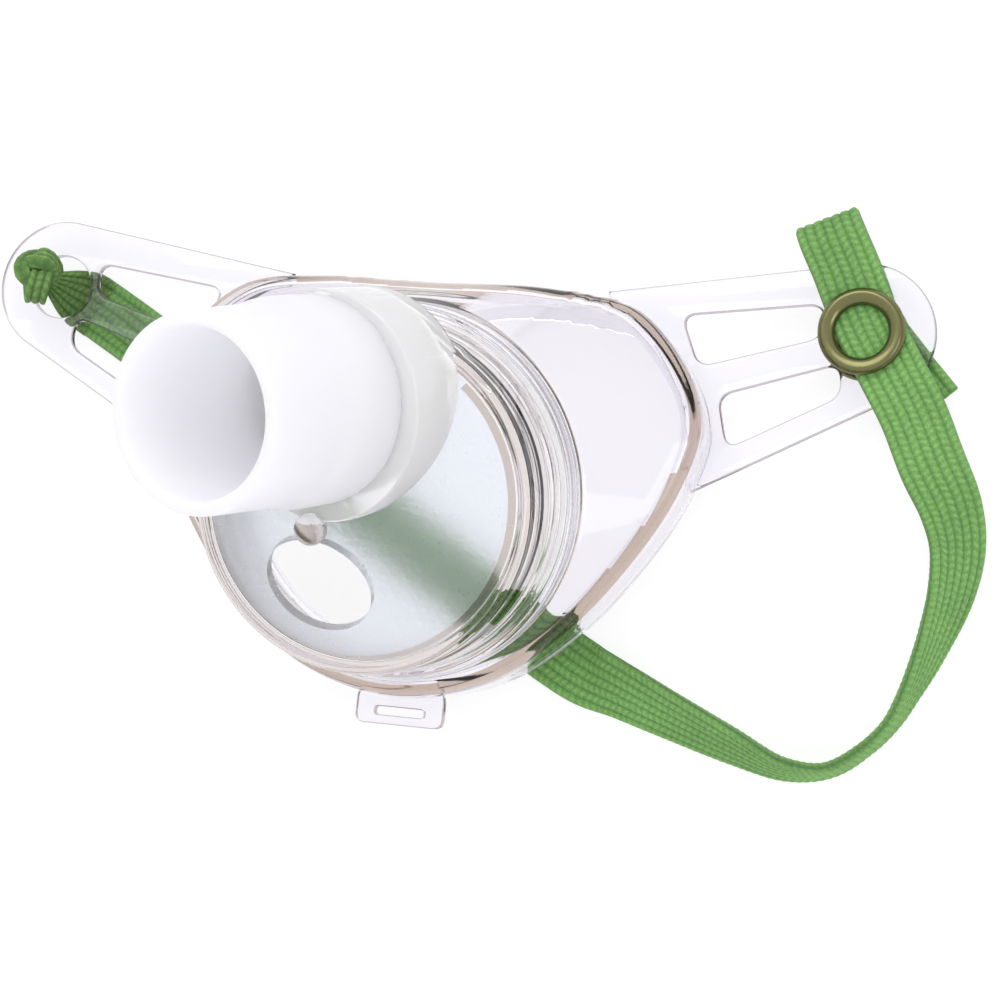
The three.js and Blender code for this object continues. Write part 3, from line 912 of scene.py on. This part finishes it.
@dataclass
class NeckStrap:
    """The elastic strap: out of the left wing's hole, behind the mask, round and over the right wing."""

    stops: Sequence[tuple[float, float, float, float]] = (
        (-49.0, 20.9, 0.75, 0), (-42.1, 17.0, 0.65, 0), (-22.0, 5.0, BEHIND, 0),
        (-0.3, -8.1, BEHIND, 0), (17.1, -18.5, BEHIND, 0), (21.6, -20.8, 1.15, 8),
        (26.0, -22.3, 2.4, 30), (33.0, -24.9, 3.3, 46), (41.0, -27.8, 3.8, 60),
        (47.7, -29.9, 4.15, 76), (52.8, -29.5, 4.25, 87), (56.7, -26.8, 4.25, 90),
        (59.5, -23.6, 4.25, 90), (61.4, -19.7, 4.25, 85), (63.6, -13.7, 4.2, 72),
        (65.2, -7.4, 4.2, 56), (65.4, -2.0, 4.2, 42), (64.2, 2.4, 4.35, 26),
        (61.7, 7.2, OVER_WING, 8), (58.9, 13.0, OVER_WING, 0), (55.6, 18.4, OVER_WING, 0),
        (52.2, 24.0, OVER_WING, 0), (49.3, 30.0, OVER_WING, 0), (47.2, 34.0, 4.45, 0),
        (46.4, 35.7, 3.15, 0), (47.2, 34.0, 1.85, 0), (49.6, 29.4, UNDER_WING, 0),
        (52.2, 24.0, UNDER_WING, 0), (56.0, 19.2, UNDER_WING, 0), (60.6, 14.2, UNDER_WING, 0))
    weave: Weave = field(default_factory=Weave)
    step: float = 0.14
    path_step: float = 2.0

    def lie(self, step: float) -> tuple[Points, Points, Points]:
        """Follow the route.

        Args:
            step: The distance between points, in millimetres.

        Returns:
            The centreline, and the unit vectors across and through the tape.
        """
        stops = np.array(self.stops)
        centre, index = curve_through(stops[:, :3], step)
        roll = np.radians(np.interp(index, np.arange(len(stops)), stops[:, 3]))
        window = np.hanning(int(4.0 / step) | 1)
        padded = np.pad(roll, len(window) // 2, mode="edge")
        roll = np.convolve(padded, window / window.sum(), mode="valid")
        tangent = np.gradient(centre, axis=0)
        tangent = tangent / np.linalg.norm(tangent, axis=1, keepdims=True)
        level = np.cross((0, 0, 1), tangent)
        side = np.array((0.0, 1.0, 0.0))
        for i, row in enumerate(level):
            row = row / max(np.linalg.norm(row), 1e-9)
            level[i] = row if row @ side >= 0 else -row
            side = level[i]
        normal = np.cross(tangent, level)
        cos, sin = np.cos(roll)[:, None], np.sin(roll)[:, None]
        across = level * cos + normal * sin
        return centre, across, np.cross(tangent, across)

    def build(self, snap: list[bpy.types.Object], knot: bpy.types.Object) -> bpy.types.Object:
        """Args:
            snap: The snap's pieces, which hold its far end. Not used.
            knot: The knot at its near end. Not used.

        Returns:
            The piece.
        """
        piece = sweep_tape("neck_strap", self.weave, *self.lie(self.step))
        piece.data.materials.append(ELASTIC.build())
        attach(piece, "mask")
        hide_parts("strap_band")
        path = [to_row(point) for point in self.lie(self.path_step)[0]]
        return piece


@dataclass
class Knot:
    """The strap's end, tied over the left wing's hole: a tight loop over itself and a stem below."""

    at: tuple[float, float, float] = (-54.2, 23.2, 6.6)
    reach: tuple[float, float, float] = (1.35, 2.05, 1.15)
    stem: Sequence[tuple[float, float, float]] = (
        (-47.5, 20.0, 0.75), (-49.3, 21.0, 1.0), (-50.9, 21.8, 2.4), (-52.0, 22.3, 4.2), (-53.6, 23.0, 6.0))
    weave: Weave = field(default_factory=lambda: Weave(width=3.0, thick=1.5, ribs=3, across=31,
                                                       rib_height=0.22, thread_pitch=0.7))

    def gather(self, share: Points) -> Points:
        """Narrow the tape from its full width to the knot's neck."""
        return 1.0 - 0.6 * np.clip((share - 0.25) / 0.6, 0, 1) ** 1.5

    def build(self) -> bpy.types.Object:
        """Tie the knot, dress it and set it on the mask.

        Returns:
            The piece.
        """
        t = np.linspace(0, 2 * np.pi, 420)
        loop = np.column_stack([
            self.at[0] + self.reach[0] * (np.sin(t) + 2 * np.sin(2 * t)) * 0.45,
            self.at[1] + self.reach[1] * (np.cos(t) - 2 * np.cos(2 * t)) * 0.45,
            self.at[2] - self.reach[2] * np.sin(3 * t)])
        tangent = np.gradient(loop, axis=0)
        tangent = tangent / np.linalg.norm(tangent, axis=1, keepdims=True)
        outward = loop - np.array(self.at)
        outward = outward + np.array((0, 0, 1.2)) * np.sin(2 * t)[:, None]
        outward = outward - tangent * np.sum(outward * tangent, axis=1, keepdims=True)
        outward = outward / np.linalg.norm(outward, axis=1, keepdims=True)
        piece = sweep_tape("tied_knot", self.weave, loop, np.cross(tangent, outward), outward)
        stem_line, _ = curve_through(np.array(self.stem), 0.14)
        along = np.gradient(stem_line, axis=0)
        along = along / np.linalg.norm(along, axis=1, keepdims=True)
        across = np.tile(np.cross((0, 0, 1), (0.87, -0.5, 0.0)), (len(stem_line), 1))
        stem = sweep_tape("stem", Weave(), stem_line, across, np.cross(along, across), self.gather)
        with bpy.context.temp_override(active_object=piece, selected_editable_objects=[piece, stem]):
            bpy.ops.object.join()
        piece.data.materials.append(KNOT_ELASTIC_SHADED.build())
        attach(piece, "mask")
        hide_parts("strap_knot")
        return piece


# ---- Snap ----------------------------------------------------------------------------------


@dataclass
class Snap:
    """The prong ring over the strap, and the back plate under the wing."""

    outer: float = 5.3
    inner: float = 3.1
    low: float = 5.4
    high: float = 6.5
    back_radius: float = 5.2
    back_high: float = 0.9

    def build(self) -> list[bpy.types.Object]:
        """Turn both halves, dress them and set them on the mask.

        Returns:
            The two pieces.
        """
        place = Matrix.Translation((*WING_TIP, 0))
        low, high, outer, inner = self.low, self.high, self.outer, self.inner
        crown = (outer + inner) / 2
        ring = turned("prong_ring", [
            (inner, low), (outer - 0.2, low), (outer, low + 0.35), (outer - 0.35, high - 0.25),
            (crown + 0.45, high), (crown - 0.35, high - 0.1), (inner + 0.25, high - 0.45)],
            place, fillet=0.3, segments=96)
        back = turned("snap_back_plate", [
            (0, 0.35), (1.6, 0.35), (2.1, 0), (self.back_radius - 0.5, 0), (self.back_radius, 0.3),
            (self.back_radius, self.back_high), (0, self.back_high)], place, fillet=0.25, segments=96)
        nickel = NICKEL_DARK_REFLECTION.build()
        for piece, node in ((ring, "snap_ring"), (back, "snap_back")):
            smooth(piece, 60)
            piece.data.materials.append(nickel)
            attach(piece, "mask")
            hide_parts(node)
        return [ring, back]


# ---- Studio --------------------------------------------------------------------------------


@dataclass
class Studio:
    """A pale floor, a soft overhead light, a pale room with warm grey walls, and the camera."""

    eye: tuple[float, float, float] = (101.61, -31.81, 325.50)
    right: tuple[float, float, float] = (0.95877, 0.10420, -0.26438)
    up: tuple[float, float, float] = (-0.07540, 0.99028, 0.11685)
    lens: float = 98.9
    floor_half: float = 3.0
    floor_drop: float = 0.0002

    def camera(self) -> None:
        """Set the camera above the mask, a little to its right."""
        data = bpy.data.cameras.new("camera")
        data.lens = self.lens
        data.sensor_width = 36.0
        data.clip_start = 0.01
        eye = bpy.data.objects.new("camera", data)
        right, up = Vector(self.right).normalized(), Vector(self.up).normalized()
        turn = Matrix((right, up, right.cross(up))).transposed().to_4x4()
        eye.matrix_world = Matrix.Translation(to_row(self.eye)) @ turn
        bpy.context.scene.collection.objects.link(eye)
        bpy.context.scene.camera = eye

    def floor(self) -> None:
        """Lay a plain pale floor that also glows, as a light table does, to light the clear parts."""
        half = self.floor_half / MM
        corners = np.array([(-half, -half, 0), (half, -half, 0), (half, half, 0), (-half, half, 0)])
        floor = mesh_object("floor", corners - (0, 0, self.floor_drop / MM), [(0, 1, 2, 3)])
        material = bpy.data.materials.new("white_paper")
        material.use_nodes = True
        tree = material.node_tree
        tree.nodes.clear()
        shader = add_node(tree, "BsdfPrincipled", {
            "Base Color": linear("#8a8a8c"), "Roughness": 0.9,
            "Emission Color": linear("#ffffff"), "Emission Strength": 0.79})
        add_node(tree, "OutputMaterial", links={"Surface": shader.outputs["BSDF"]})
        floor.data.materials.append(material)

    def room(self) -> None:
        """Light the room: white overhead, warm grey near the horizon, which darkens clear edges."""
        world = bpy.data.worlds.new("room")
        bpy.context.scene.world = world
        world.use_nodes = True
        tree = world.node_tree
        tree.nodes.clear()
        place = add_node(tree, "TexCoord")
        parts = add_node(tree, "SeparateXYZ", links={0: place.outputs["Generated"]})
        ramp = add_node(tree, "ValToRGB", links={"Fac": parts.outputs["Z"]})
        stops = ((0.0, "#968b84"), (0.1, "#b8b0ae"), (0.22, "#f4f2f6"), (1.0, "#ffffff"))
        ramp.color_ramp.elements[0].position = stops[0][0]
        ramp.color_ramp.elements[0].color = linear(stops[0][1])
        ramp.color_ramp.elements[1].position = stops[-1][0]
        ramp.color_ramp.elements[1].color = linear(stops[-1][1])
        for position, colour in stops[1:-1]:
            ramp.color_ramp.elements.new(position).color = linear(colour)
        back = add_node(tree, "Background", {"Strength": 1.06}, {"Color": ramp.outputs["Color"]})
        add_node(tree, "OutputWorld", links={"Surface": back.outputs["Background"]})

    def lamp(self, name: str, place: Sequence[float], size: float, power: float) -> None:
        """Hang a square soft light that looks at the mask.

        Args:
            name: The light's name.
            place: Where it hangs, in metres in the row's frame.
            size: Its side, in metres.
            power: Its power in watts.
        """
        data = bpy.data.lights.new(name, "AREA")
        data.size = size
        data.energy = power
        lamp = bpy.data.objects.new(name, data)
        lamp.location = place
        lamp.rotation_euler = (-Vector(place)).to_track_quat("-Z", "Y").to_euler()
        bpy.context.scene.collection.objects.link(lamp)

    def build(self) -> None:
        """Set up the whole studio."""
        bpy.context.scene.view_settings.view_transform = "Standard"
        self.camera()
        self.floor()
        self.room()
        self.lamp("soft_top", (-0.15, 0.55, 0.75), 0.6, 2.6)
        self.lamp("soft_side", (0.8, -0.2, 0.5), 0.4, 1.2)


# ---- Main ----------------------------------------------------------------------------------


def main() -> None:
    """Build every piece in order and report it."""
    logging.basicConfig(level=logging.INFO, format="%(name)s: %(message)s")
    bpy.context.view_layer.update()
    Studio().build()
    knot = Knot().build()
    snap = Snap().build()
    pieces = [knot, *snap, NeckStrap().build(snap, knot)]
    for maker in (HoseConnector(), Turret(), MaskMoulding()):
        pieces.append(maker.build())
    for piece in pieces:
        LOG.info("%s: %d faces", piece.name, len(piece.data.polygons))


if __name__ == "__main__":
    main()
